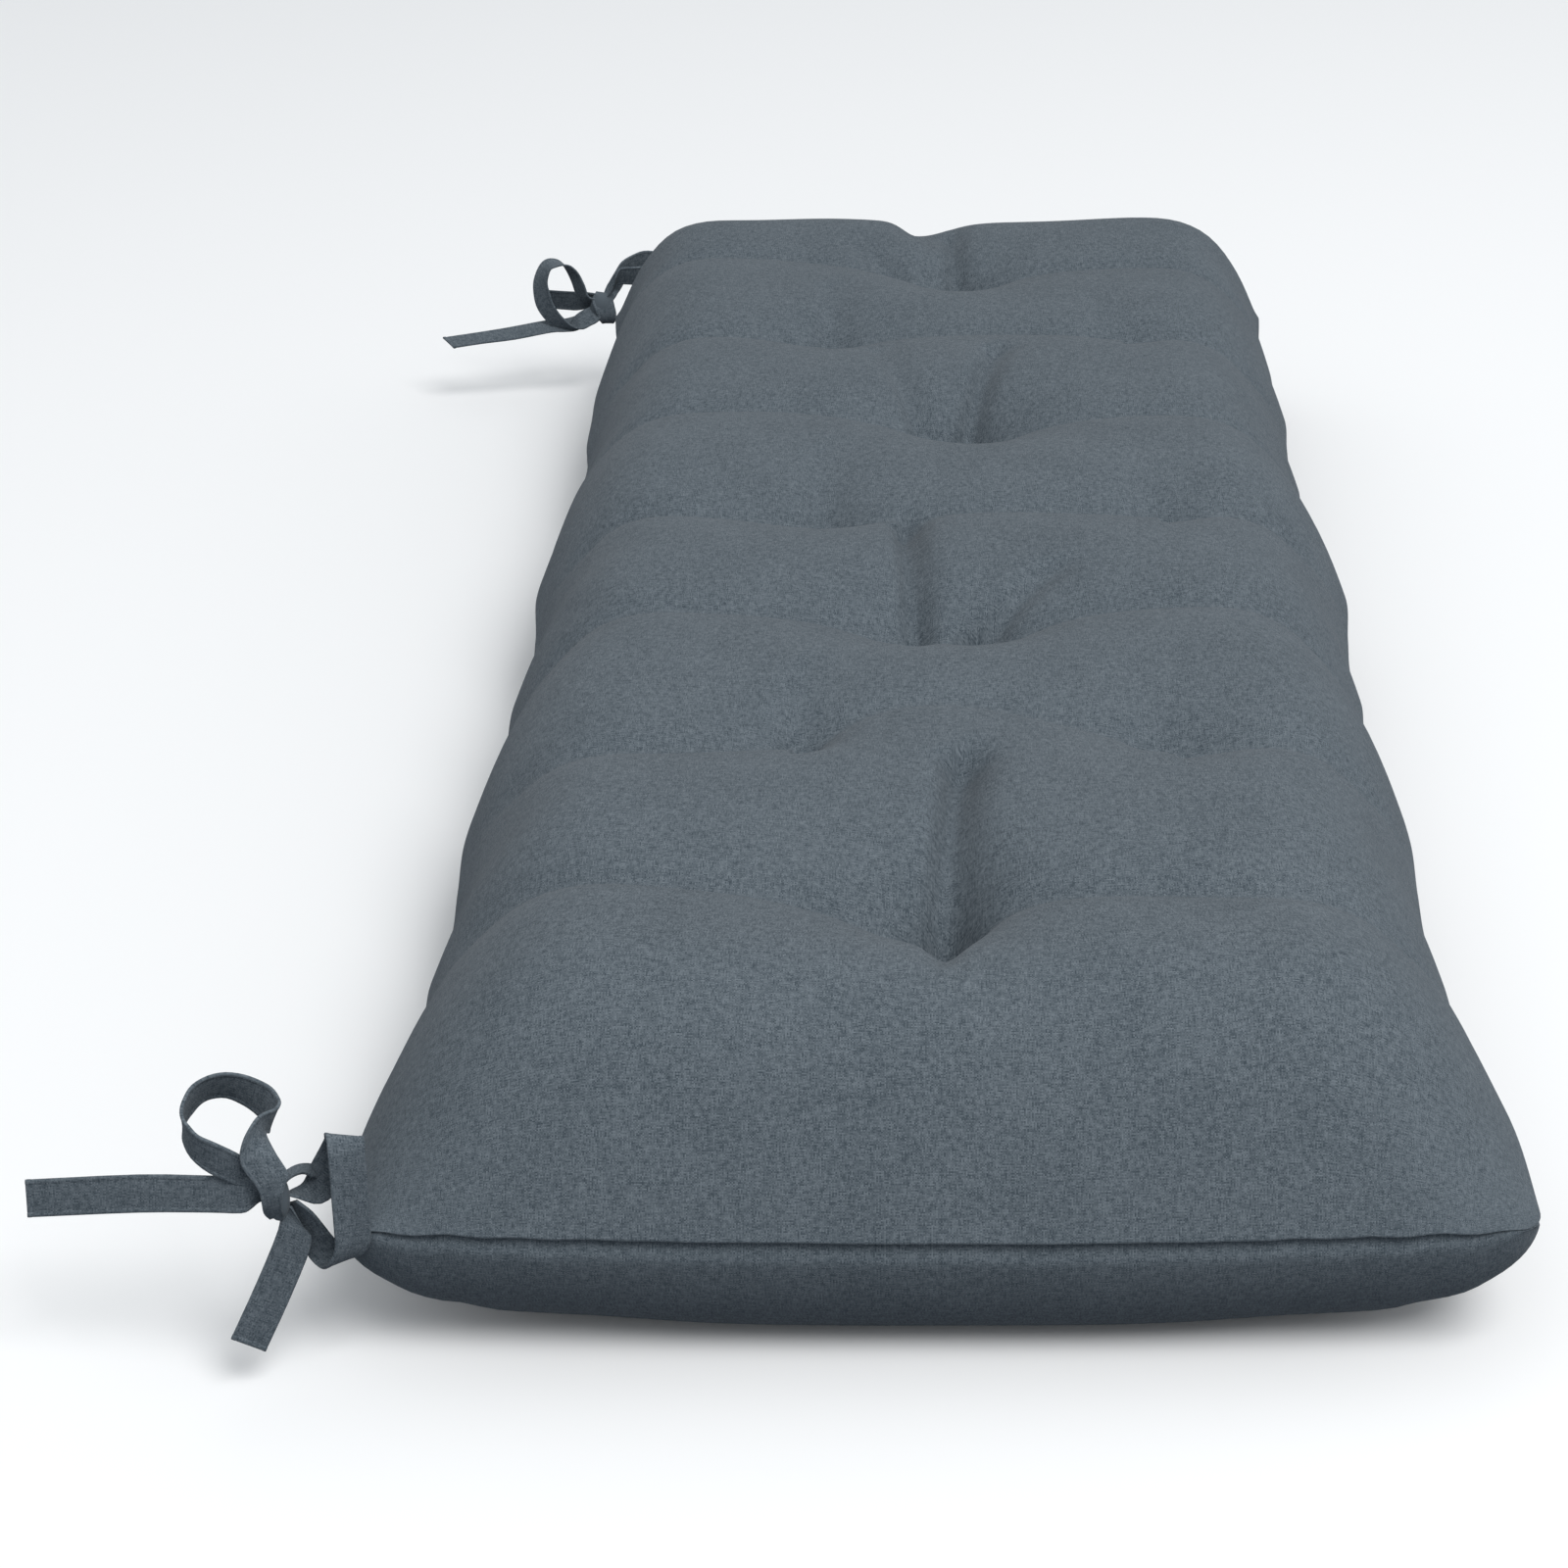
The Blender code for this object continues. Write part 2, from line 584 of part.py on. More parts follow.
def make_tie(name, corner, knot, strips, collections, material):
    """One tied strip: a knot with the strip's ring, loop and tails joined into it."""
    parts, helpers = collections
    x, y, z, half_x, half_y, half_z = knot
    bm = bmesh.new()
    bmesh.ops.create_uvsphere(bm, u_segments=12, v_segments=8, radius=1)
    mesh = bpy.data.meshes.new(name)
    bmesh.ops.scale(bm, vec=Vector((half_x, half_y, half_z)) * MM, verts=bm.verts)
    bmesh.ops.translate(bm, vec=(Vector((x, y, z)) + corner) * MM, verts=bm.verts)
    bm.to_mesh(mesh)
    bm.free()
    mesh.materials.append(material)
    tie = bpy.data.objects.new(name, mesh)
    parts.objects.link(tie)
    for part, stations in strips.items():
        join = tie.modifiers.new("join_" + part, "BOOLEAN")
        join.operation = "UNION"
        join.solver = "MANIFOLD"
        join.object = make_strip(name + "_" + part, stations, corner, helpers)
    return tie


def main():
    clear_scene()
    parts = bpy.data.collections.new("bench_cushion")
    helpers = bpy.data.collections.new("strip_runs")
    bpy.context.scene.collection.children.link(parts)
    bpy.context.scene.collection.children.link(helpers)
    make_cushion(parts, cloth_material("cushion_cloth"))
    tie_cloth = cloth_material("tie_cloth")
    near_strips = {
        "ring_back": NEAR_RING_BACK,
        "ring_front": NEAR_RING_FRONT,
        "loop_left": NEAR_LOOP_LEFT,
        "loop_right": NEAR_LOOP_RIGHT,
        "wrap": NEAR_WRAP,
        "long_tail": NEAR_LONG_TAIL,
        "short_tail": NEAR_SHORT_TAIL,
    }
    far_strips = {
        "ring": FAR_RING,
        "ring_return": FAR_RING_RETURN,
        "loop": FAR_LOOP,
        "wrap": FAR_WRAP,
        "long_tail": FAR_LONG_TAIL,
        "short_tail": FAR_SHORT_TAIL,
    }
    make_tie("tie_near", NEAR_CORNER, NEAR_KNOT, near_strips, (parts, helpers), tie_cloth)
    make_tie("tie_far", FAR_CORNER, FAR_KNOT, far_strips, (parts, helpers), tie_cloth)


main()
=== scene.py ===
"""The looks of a tufted bench cushion with a tied cloth bow at two of its corners.

The cushion is a top and an underside panel with a stitched groove between them. Both
panels follow the forms of the CAD solid, with the finer folds of the cloth added. The
ties are hemmed strips. All sizes are in metres unless a table says mm. The X axis runs
across the cushion and the Y axis along it, away from the camera.
"""

import math

import bmesh
import bpy
import numpy as np
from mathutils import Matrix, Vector


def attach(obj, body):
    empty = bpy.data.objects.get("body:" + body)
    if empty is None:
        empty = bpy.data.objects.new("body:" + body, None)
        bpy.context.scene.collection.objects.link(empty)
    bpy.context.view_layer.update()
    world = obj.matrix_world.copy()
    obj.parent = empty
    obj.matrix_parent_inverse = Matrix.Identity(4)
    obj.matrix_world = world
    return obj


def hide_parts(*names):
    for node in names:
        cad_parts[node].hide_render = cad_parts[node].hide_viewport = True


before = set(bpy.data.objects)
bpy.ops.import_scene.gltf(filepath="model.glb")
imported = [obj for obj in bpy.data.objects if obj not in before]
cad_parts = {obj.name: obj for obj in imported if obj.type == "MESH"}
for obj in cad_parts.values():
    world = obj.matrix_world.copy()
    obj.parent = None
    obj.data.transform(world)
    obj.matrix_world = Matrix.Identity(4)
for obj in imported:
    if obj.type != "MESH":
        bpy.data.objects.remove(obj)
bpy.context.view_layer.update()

MM = 0.001

# The sewn outline. Its ends bow out, and the seam rises at the corners
LENGTH = 1.168
WIDTH = 0.466
CORNER_RADIUS = 16 * MM
END_BOW = 5 * MM  # how far the corners stand back from the middle of an end
SEAM_HEIGHT = 60 * MM
CORNER_LIFT = 3.5 * MM
BEND_POWER_ACROSS = 2.5  # a high power keeps the bow and the lift close to the corners
BEND_POWER_ALONG = 8

# How far the filling and the tufts draw the sides in: row, left side and right side in mm
SIDE_DRAW = (
    (0.0, 1.0, 1.0),
    (0.6, 3.0, 1.5),
    (0.85, 6.5, 6.0),
    (1.1, 13.0, 11.5),
    (1.35, 11.8, 12.2),
    (1.6, 15.0, 14.5),
    (1.95, 12.0, 12.0),
    (2.3, 8.5, 8.5),
    (2.7, 11.5, 10.0),
    (2.97, 17.0, 14.5),
    (3.15, 14.5, 15.5),
    (3.4, 13.2, 12.8),
    (3.66, 17.0, 14.0),
    (4.0, 14.5, 10.0),
    (4.4, 8.5, 4.5),
    (4.8, 9.8, 9.0),
    (5.05, 11.0, 13.5),
    (5.3, 15.8, 15.6),
    (5.6, 16.4, 13.5),
    (5.85, 16.4, 15.3),
    (6.1, 12.4, 13.5),
    (6.45, 10.5, 9.5),
    (6.8, 8.6, 11.5),
    (7.15, 10.0, 10.4),
    (7.5, 14.0, 12.5),
    (7.8, 8.5, 9.0),
    (8.0, 5.5, 6.5),
)

# The filled form above the seam. The top panel rises steeply from the seam and rounds
# over: the width of that border and its power, which is 1 for a straight slope
CROWN = 85 * MM
TOP_REACH = 100 * MM
FAR_END_REACH = 70 * MM
SIDE_POWER = 3
NEAR_CORNER_SOFTENING = 1.2  # taken off the sides' power beside the near end
FAR_CORNER_FULLNESS = 1.0  # and added beside the far end
CORNER_REACH = 130 * MM
NEAR_END_POWER = 2.5
FAR_END_POWER = 3

# The form below the seam rounds under in a quarter of an ellipse
UNDER_SIDE_REACH = 110 * MM
UNDER_END_REACH = 45 * MM
UNDER_SLACK = 0.28  # share by which that reach is greater beside the corners
UNDER_SLACK_AT = 155 * MM
UNDER_SLACK_WIDTH = 50 * MM
UNDER_CORNER_POWER = 2.3  # 2 leaves the corners of the underside slack
PRESSED = 0.3 * MM  # what lies lower than this is pressed onto the floor

# The unevenness of the loose filling: its height, and its waves, each with its turns in
# radians a metre across and along the cushion and where it starts
LUMP = 0.6 * MM
SLOW_WAVES = ((31, 17, 0.6), (-23, 29, 2.1))
SMALL_WAVES = ((57, 11, 0), (0, 47, 1.3))
SMALL_WAVE_SHARE = 0.6

# Each row of tufts pulls a crease across the cushion, an eighth of the length apart
ROW_PITCH = LENGTH / 8
CREASE_WIDTH = 10 * MM
CREASE_HOLLOW_WIDTH = 42 * MM
CREASE_SHARE = 0.62  # the sharp part of a crease, the rest is its soft hollow
CREASE_ROUNDING = 1.5 * MM
ROW_CENTRE_WIDTH = 78 * MM
RELIEF_INSET = 36 * MM  # the creases fade over this width towards the seam

# The crease of each row, at the left, middle and right: shift along Y and depth in mm
ROWS = (
    (1, (14, 4, 0), (13, 14, 12)),
    (2, (-8, 38, 2), (11, 6, 11)),
    (3, (8, 4, 14), (11, 12, 11)),
    (4, (0, -4, 6), (11, 9, 11)),
    (5, (16, 8, 6), (10, 12, 10)),
    (6, (8, 14, 14), (10, 8, 10)),
    (7, (30, -2, 8), (9, 10, 9)),
)

# The tufts: row, across, depth, and how wide each one draws the cloth in on its left,
# on its right and along the cushion, in mm
TUFTS = (
    (1, 5, 42, 36, 17, 30),
    (3, -14, 21, 34, 12, 30),
    (3, 21, 28, 14, 28, 26),
    (5, 20, 36, 32, 24, 30),
    (7, 16, 32, 26, 26, 30),
    (2, -66, 12, 40, 34, 28),
    (2, 112, 5, 60, 60, 26),
    (4, -66, 12, 40, 36, 28),
    (4, 120, 4, 60, 50, 26),
    (6, -70, 13, 34, 32, 26),
    (6, 120, 5, 60, 50, 26),
)
TUFT_ROUNDING = 0.1  # share of that width

# Folds that run from the tufts: across in mm and row of both ends, and depth and width
# at both ends in mm. The first two are the long fold behind the first tuft and the short
# one over the crest before it
FOLDS = (
    (0, 1.00, 9, 1.80, 12, 17, 11, 12),
    (4, 0.98, 2, 0.60, 13, 5, 9, 7),
    (-13, 3.06, -20, 3.88, 9, 14, 9, 11),
    (15, 3.04, 60, 3.38, 12, 5, 8, 10),
    (-11, 5.08, -39, 5.80, 8, 4, 9, 12),
    (14, 5.06, 36, 5.78, 13, 8, 8, 11),
    (12, 7.04, 8, 7.55, 11, 6, 7, 9),
    (-30, 7.06, -56, 7.35, 9, 3, 11, 14),
    (-14, 7.55, -18, 8.00, 9, 14, 24, 24),
    (-68, 2.05, -64, 2.45, 8, 3, 14, 18),
    (108, 2.05, 100, 2.45, 7, 2, 28, 30),
    (-68, 4.05, -64, 4.50, 8, 3, 14, 18),
    (120, 4.05, 112, 4.45, 7, 2, 24, 26),
    (-72, 6.05, -70, 6.60, 9, 3, 13, 16),
    (116, 6.05, 108, 6.45, 5, 2, 24, 24),
    # The pinches at the left side and the right side
    (-218, 3.50, -186, 3.18, 4, 2, 6, 6),
    (-226, 1.08, -186, 1.16, 7, 0, 8, 12),
    (-226, 2.02, -186, 1.98, 9, 0, 8, 12),
    (-226, 3.00, -186, 3.06, 10, 0, 8, 12),
    (-226, 4.00, -186, 4.00, 10, 0, 8, 12),
    (-226, 5.08, -186, 5.11, 9, 0, 8, 12),
    (-226, 6.02, -186, 6.05, 9, 0, 8, 12),
    (226, 1.02, 186, 1.00, 8, 0, 8, 12),
    (226, 2.00, 186, 2.01, 10, 0, 8, 12),
    (226, 3.06, 186, 3.10, 10, 0, 8, 12),
    (226, 4.06, 186, 4.04, 10, 0, 8, 12),
    (226, 5.04, 186, 5.04, 8, 0, 8, 12),
    (226, 6.08, 186, 6.10, 8, 0, 8, 12),
)

# A fold that runs back over more rows than this leans: the share of its width on each side
FOLD_LEAN_FROM = 0.3
FOLD_LEAN_LEFT = 0.55
FOLD_LEAN_RIGHT = 1.2

# The underside: the hollow under each tuft, and puckers beside the corners, each with
# its place across in mm and its end, which is -1 for the near one
UNDER_DIMPLE_DEPTH = 12 * MM
UNDER_DIMPLE_RADIUS = 48 * MM
PUCKERS = ((-186, -1), (190, -1), (-180, 1), (178, 1))
PUCKER_SHARE = 0.05
PUCKER_WIDTH = 9 * MM

# The grid of a panel: how far its lines lie from the seam in mm, closer together on the
# steep border of the form, and the step between the lines in the middle
BORDER_INSETS = (
    0, 0.1, 0.22, 0.4, 0.75, 1.3, 2.1, 3.4, 5.2, 7.5, 10.5, 14,
    18, 22.5, 27.5, 33, 39, 45.5, 52.5, 60, 68, 76.5, 85.5, 95,
)
MIDDLE_STEP = 3.3 * MM
WELD_DISTANCE = 0.001 * MM  # what lies closer is one point of both panels

# The groove that the stitches pull into the edge of a panel
SEAM_GROOVE_DEPTH = 2.6 * MM
SEAM_GROOVE_INSET = 0.2 * MM

# The ripple of the seam: its height, how far it reaches into the panels, and the share
# and the length over 2 pi of its short waves, its long ones and its puckers at a corner
SEAM_RIPPLE = 0.35 * MM
SEAM_RIPPLE_INSET = 14 * MM
SHORT_RIPPLE_SHARE = 0.35
SHORT_RIPPLE_LENGTH = 10.5 * MM
SHORT_RIPPLE_START = 0.8
LONG_RIPPLE_SHARE = 0.5
LONG_RIPPLE_ACROSS = 37 * MM
LONG_RIPPLE_ALONG = 21 * MM
CORNER_PUCKER_SHARE = 2.2
CORNER_PUCKER_LENGTH = 4.3 * MM
CORNER_PUCKER_START = 1.1
CORNER_PUCKER_REACH = 95 * MM

# The lip where the cloth stands off the seam at a corner: its height, how soon it starts
# and how soon it is over beside the seam, and how far it runs from the corner
SEAM_LIP = 0.6 * MM
SEAM_LIP_START = 0.35 * MM
SEAM_LIP_INSET = 4 * MM
SEAM_LIP_REACH = 60 * MM

# The ties: the width of their strip, the cross sections from one station to the next, the
# round core of a knot, and the corners that the stations are measured from, in mm
STRIP_WIDTH = 15 * MM
STRIP_STEPS = 3
KNOT_SEGMENTS = 32
KNOT_RINGS = 20
SHARP_ANGLE = math.radians(70)
NEAR_CORNER = Vector((-228.5, -584.0, 60.0))
FAR_CORNER = Vector((-228.5, 584.0, 60.0))

# The cross section of a hemmed strip: place across it, from -1 to 1, and thickness in mm
HEM_SECTION = (
    (-1, 0), (-0.985, 0.9), (-0.95, 1.3), (-0.86, 1.4), (-0.78, 1.3), (-0.73, 0.95),
    (-0.68, 1.05), (-0.35, 1.0), (0, 1.0), (0.35, 1.0), (0.68, 1.05),
    (0.73, 0.95), (0.78, 1.3), (0.86, 1.4), (0.95, 1.3), (0.985, 0.9), (1, 0),
)

# The folded end of a tail: distance from its end in mm, and share of its thickness
HEM_END = (
    (0, 0.3), (0.2, 1.1), (0.6, 1.5), (1.5, 1.5), (2.0, 1.3), (2.3, 0.75), (2.7, 0.9), (3.4, 1),
)

# The stations of a strip, in mm from the corner of the cushion: one edge (x, y, z) and
# the other edge (x, y, z). A strip gathers where it enters the knot. A knot has its
# centre and its half sizes
NEAR_LOOP = (
    (-19.5, -1, 31, -20.5, 3, 22),
    (-25.5, -2.5, 37.5, -26, 0.5, 25),
    (-32.5, -3, 43.5, -34, -2, 29),
    (-40.5, -3.5, 48.5, -44, -1.5, 34),
    (-46.5, -2.5, 51, -51, 2.5, 38),
    (-50.5, 1, 53, -55, 9, 41),
    (-53.5, 5.5, 53.5, -56, 14.5, 42),
    (-55, 10.5, 54.5, -56.5, 19.5, 43),
    (-54.5, 15.5, 56.5, -55, 24.5, 44),
    (-52.5, 21, 58.5, -52.5, 29, 45.5),
    (-47.5, 26, 59.5, -49, 32, 46),
    (-41.5, 28.5, 59.5, -43.5, 33.5, 45.5),
    (-35, 29.5, 58, -38, 32.5, 43.5),
    (-29, 28, 56.5, -33.5, 30, 42),
    (-24, 25.5, 55, -30, 26.5, 41),
    (-20.5, 20.5, 54, -27.5, 21.5, 41),
    (-19, 15.5, 54, -25.5, 18.5, 41),
    (-20, 10.5, 54.5, -24.5, 15.5, 41),
    (-22.5, 5.5, 56, -24.5, 12, 43),
    (-24.5, 1, 56.5, -24, 8.5, 44.5),
    (-27, -3, 54, -22.5, 5, 44.5),
    (-29.5, -5, 49.5, -20, 1, 43.5),
    (-31, -6, 43.5, -17, -3, 41.5),
    (-29.5, -7, 38, -14.5, -5, 38.5),
    (-26.5, -7.5, 33.5, -13, -7, 36.5),
    (-24.5, -8, 29.5, -14, -8, 33.5),
    (-24, -8, 25, -15.5, -9, 29),
    (-24, -6.5, 19.5, -16.5, -8, 23),
    (-23, -2.5, 14.5, -17, -5, 17.5),
)
NEAR_RING_BACK = (
    (-20, 5, 19, -18, -1, 25),
    (-16, 8.5, 20, -12, 1.5, 21),
    (-12, 11, 22, -4.5, 3.5, 17),
    (-8.5, 11, 30, 3, 6.5, 22),
    (-4.5, 10.5, 37.5, 8.5, 7, 33),
    (-1, 7.5, 45, 12.5, 6, 43),
)
NEAR_RING_FRONT = (
    (-1.5, 7, 43, 13, 6.5, 42.5),
    (-1, 4, 47.5, 13.5, 5, 45.3),
    (0.5, 0, 48, 14, 4, 44),
    (1.5, -4, 42.5, 14, 3, 37),
    (1.5, -5, 25.5, 14, 3, 21),
    (1.5, -5.5, 11, 13.5, 3.3, 7),
    (1, -5.5, 2, 12.5, 3.5, -1),
    (-2, -4.5, -5, 8.5, 4.5, -6.5),
    (-6, 1, -10.5, 4.5, 6, -6.5),
    (-9.5, 6, -12, 1.5, 6.5, -4),
    (-13, 9, -9, -1.5, 6, 0),
    (-15.5, 10, -2.5, -4.5, 5, 6),
    (-17, 9, 6, -8, 3, 13.5),
    (-19, 6.5, 15, -13, 1, 20),
)
NEAR_WRAP = (
    (-19, 1, 28.5, -17.5, -5, 28),
    (-15.5, 2.5, 32.5, -15, -4.5, 32),
    (-12.5, 8, 31.5, -12, 0, 32),
    (-9, 13, 28.5, -9.5, 5, 29.5),
    (-5, 14.5, 25.5, -6.5, 7, 26),
)
NEAR_LONG_TAIL = (
    (-21.5, -2, 27.5, -22.5, 2, 20.5),
    (-25, -3, 30.5, -26.5, -1, 21),
    (-28, -3, 32.5, -29.5, -3, 19),
    (-31.5, -1.5, 32.5, -33, -4.5, 18),
    (-45, 0.5, 31.5, -45.5, -2.5, 17),
    (-73, 6, 28.5, -73.5, 2, 14),
    (-118, 12.5, 22, -118, 9.5, 7),
)
NEAR_SHORT_TAIL = (
    (-21, 2, 19, -15, 1, 17),
    (-20, 0, 14.5, -12, 3.5, 6.5),
    (-20.5, -1.5, 8.5, -9.5, 3.5, -0.5),
    (-30, -4.5, -13, -18, -1.5, -21),
    (-41, -9.5, -35.5, -29, -6.5, -43.5),
)
NEAR_KNOT = (-19.5, -1, 23, 4.5, 5.5, 10)

FAR_LOOP = (
    (-16, 3.5, 8.5, -10, -3.5, 12),
    (-22, 6, 7.5, -16.5, -6, 15),
    (-26.5, 5, 14, -19, -5, 22.5),
    (-29, 5, 22.5, -23, -5, 31.5),
    (-32.5, 5.5, 31, -28, -7.5, 37.5),
    (-36.5, 6.5, 36.5, -33.5, -8.5, 38.5),
    (-41.5, 5.5, 39, -38, -9.5, 37.5),
    (-47, 4, 38.5, -41.5, -10, 36),
    (-51.5, 2, 34, -43.5, -10, 31.5),
    (-55, 0, 25.5, -44.5, -10, 26),
    (-55.5, -2, 17.5, -43.5, -10, 20),
    (-54, -3.5, 8, -41, -10.5, 11),
    (-49.5, -4.5, 0, -37, -11.5, 4.5),
    (-43, -5, -7, -32.5, -13, 0),
    (-37, -4.5, -10.5, -27, -13.5, -4.5),
    (-32, -4, -7.5, -20.5, -13.5, -6),
    (-27.5, -4, 0, -15.5, -11, -4.5),
    (-21.5, -2, 4, -10.5, -10, -2),
    (-16.5, -0.5, 6, -8, -7.5, 1.5),
    (-14, 1, 8.5, -8, -5, 5),
)
FAR_RING = (
    (-7.5, 2, 12.5, -2.5, -4, 8.5),
    (-4.5, 7, 19.5, 2, -1, 13.5),
    (2, 5, 30, 5, 11, 16.5),
    (6.5, 9, 36, 8.5, 15, 22),
    (13.5, 13, 39.5, 14, 17, 25),
    (21.5, 15, 42, 21.5, 17, 27),
    (30, 13.5, 41, 28, 15, 26.5),
    (34, 8, 31, 24.5, 10, 19.5),
    (31, 3, 18, 19.5, 3.5, 8.5),
    (27.5, -2, 7, 16.5, -2, -3),
)
FAR_RING_RETURN = (
    (27.5, -3, 6, 16.5, -3, -4),
    (31, -2.3, 17, 20, -2, 7.5),
    (32, 0.5, 29, 24.5, 1.5, 16),
    (29, 2, 38.5, 27, 3.5, 24),
    (22, -2, 36, 19.5, 2, 21.5),
    (13.5, -4.5, 36, 11, 0.5, 22),
    (6.5, -6, 35.5, 4, 0, 22),
    (3, -6.5, 29, -1, 0.5, 16.5),
    (0.5, -5, 21.5, -5, -1, 12),
    (-2.5, -4.5, 15.5, -7.5, -1.5, 8.5),
)
FAR_WRAP = (
    (-12, 3, 16, -2, 0, 15.5),
    (-14.5, -4, 12, 0.5, -4, 10.5),
    (-12, -7.5, 5, 2.5, -7, 3.5),
    (-9.5, -7, -1.5, 1.5, -6, -2.5),
    (-8, -3, -5, -1, -2, -5),
    (-8, 1, -2, -2, 2, -2),
)
FAR_LONG_TAIL = (
    (-10.5, 3, 5.5, -8, -5, 3),
    (-20, 4, 1, -16.5, -8, -2.5),
    (-30, 4, -3, -25, -10, -8),
    (-39.5, 2.5, -4.5, -34, -10.5, -9),
    (-49, 2, -5, -43.5, -12, -9),
    (-74, -2.5, -8.5, -68.5, -15.5, -13),
    (-97, -5.5, -11.5, -91, -18.5, -15),
    (-120.5, -9, -14, -111.5, -21, -17.5),
)
FAR_SHORT_TAIL = (
    (-8.5, -0.5, 15, -8.5, 2.5, 6.5),
    (-17.5, -0.5, 16.5, -18, 6.5, 3),
    (-27, 4.5, 15.5, -26.5, 7.5, 1),
    (-35.5, 7.5, 15, -34.5, 10.5, 0.5),
    (-49, 10.5, 15, -46.5, 13.5, 0.5),
)
FAR_KNOT = (-7.5, -1.5, 6, 8.5, 5.8, 10.5)

# The two bows: name, CAD node, corner, knot, strips between its knot and the corner or
# round the knot, and free tails
BOWS = (
    (
        "near_bow", "tie_near", NEAR_CORNER, NEAR_KNOT,
        (NEAR_RING_BACK, NEAR_RING_FRONT, NEAR_LOOP, NEAR_WRAP),
        (NEAR_LONG_TAIL, NEAR_SHORT_TAIL),
    ),
    (
        "far_bow", "tie_far", FAR_CORNER, FAR_KNOT,
        (FAR_RING, FAR_RING_RETURN, FAR_LOOP, FAR_WRAP),
        (FAR_LONG_TAIL, FAR_SHORT_TAIL),
    ),
)

# The cloth: linear colours of its dark and light yarns, and the tones that give them
CLOTH_DARK = (0.050, 0.066, 0.080)
CLOTH_LIGHT = (0.150, 0.176, 0.198)
DARK_TONE = 0.31
LIGHT_TONE = 0.69
TIE_PAINTED_LIGHT = 1.04  # painted light: the ties' copy of the same cloth is made a little lighter, to match how bright they look in the light

# Its threads: their pitch, the length and detail of their slubs, the steps that give each
# warp and weft thread slubs of its own, and how much they stand out
THREAD_PITCH = 0.6 * MM
SLUB_LENGTH = 3.5 * MM
SLUB_DETAIL = 2.0
WARP_STEP = 7.31
WEFT_STEP = 5.77
THREAD_DIP = 0.5  # share of its height that a thread loses where it passes under
THREAD_RELIEF = 0.1 * MM
THREAD_RELIEF_STRENGTH = 0.6

# The slow change of tone over the whole cloth: its scale per metre and its share
CLOUD_SCALE = 22.0
CLOUD_SHARE = 0.07

# The finish of the cloth: matt, with a little sheen from its fibres
CLOTH_FINISH = {
    "Roughness": 0.92,
    "Specular IOR Level": 0.15,
    "Sheen Weight": 0.06,
    "Sheen Roughness": 0.5,
}

# The floor runs to the horizon and lies a hair below the cushion: half its side, its
# white, and the share of the light that it throws back onto the cushion
FLOOR_HALF = 60
FLOOR_DROP = 0.2 * MM
FLOOR_WHITE = 0.95
FLOOR_BOUNCE = (0.06, 0.08, 0.11)
FLOOR_ROUGHNESS = 0.9

# The studio: colour and strength of its soft surroundings, and its lights, each with its
# name, place, target, size and power
WORLD_COLOUR = (0.96, 1.0, 1.035)
WORLD_STRENGTH = 0.58
LIGHTS = (
    ("key", (2.0, -3.1, 4.95), (0, 0, 0), (3.0, 3.0), 246),
    ("right_fill", (4.0, 0.4, 1.6), (0, 0, 0.1), (2.4, 1.6), 10),
)

# The camera: its place, how far it looks up from straight down, its lens and film in mm,
# and the shift that frames the photo
CAMERA_PLACE = (0, -1.609, 0.748)
CAMERA_TILT = math.radians(64.3)
CAMERA_LENS = 74.0
CAMERA_FILM = 36
CAMERA_SHIFT = -0.098


def row_y(row):
    """Where a row lies along the cushion. Row 0 is its near end."""
    return -LENGTH / 2 + row * ROW_PITCH


def valley(distance, width, rounding=CREASE_ROUNDING):
    """1 on the line of a fold, falling off on both sides, with a slightly rounded bottom."""
    rounded = np.sqrt(distance**2 + rounding**2) - rounding
    return np.exp(-rounded / width)


def hollow(distance, width):
    """1 on a line, falling off softly on both sides."""
    return np.exp(-((distance / width) ** 2))


def rise(inset, reach, power):
    """0 on the seam, 1 from reach inwards."""
    return 1 - (1 - np.clip(inset / reach, 0, 1)) ** power


def quarter_ellipse(inset, reach):
    """0 on the seam and 1 from reach inwards, square to the floor at the seam."""
    return np.sqrt(rise(inset, reach, 2))


def smooth_between(at, places, values):
    """A smooth curve through the values that a table gives at its places."""
    places, values = np.array(places), np.array(values)
    slopes = np.gradient(values, places)
    k = np.clip(np.searchsorted(places, at) - 1, 0, len(places) - 2)
    span = places[k + 1] - places[k]
    t = (at - places[k]) / span
    start = (1 + 2 * t) * (1 - t) ** 2 * values[k] + t * (1 - t) ** 2 * span * slopes[k]
    return start + t**2 * (3 - 2 * t) * values[k + 1] - t**2 * (1 - t) * span * slopes[k + 1]


def insets(x, y):
    """How far each point of the flat panel is from its side and from its end."""
    return WIDTH / 2 - np.abs(x), LENGTH / 2 - np.abs(y)


def across_row(values, x):
    """Blends the left, middle and right value of a row at x."""
    left, middle, right = values
    side = np.where(x < 0, left, right)
    return side + (middle - side) * hollow(x, ROW_CENTRE_WIDTH)


def row_line(row, shifts, x):
    """Where the crease of a row runs at x."""
    return row_y(row) + across_row(shifts, x) * MM


def tuft_y(row, across):
    """A tuft lies on the crease of its row."""
    shifts = ROWS[row - 1][1]
    return float(row_line(row, shifts, np.array(across * MM)))


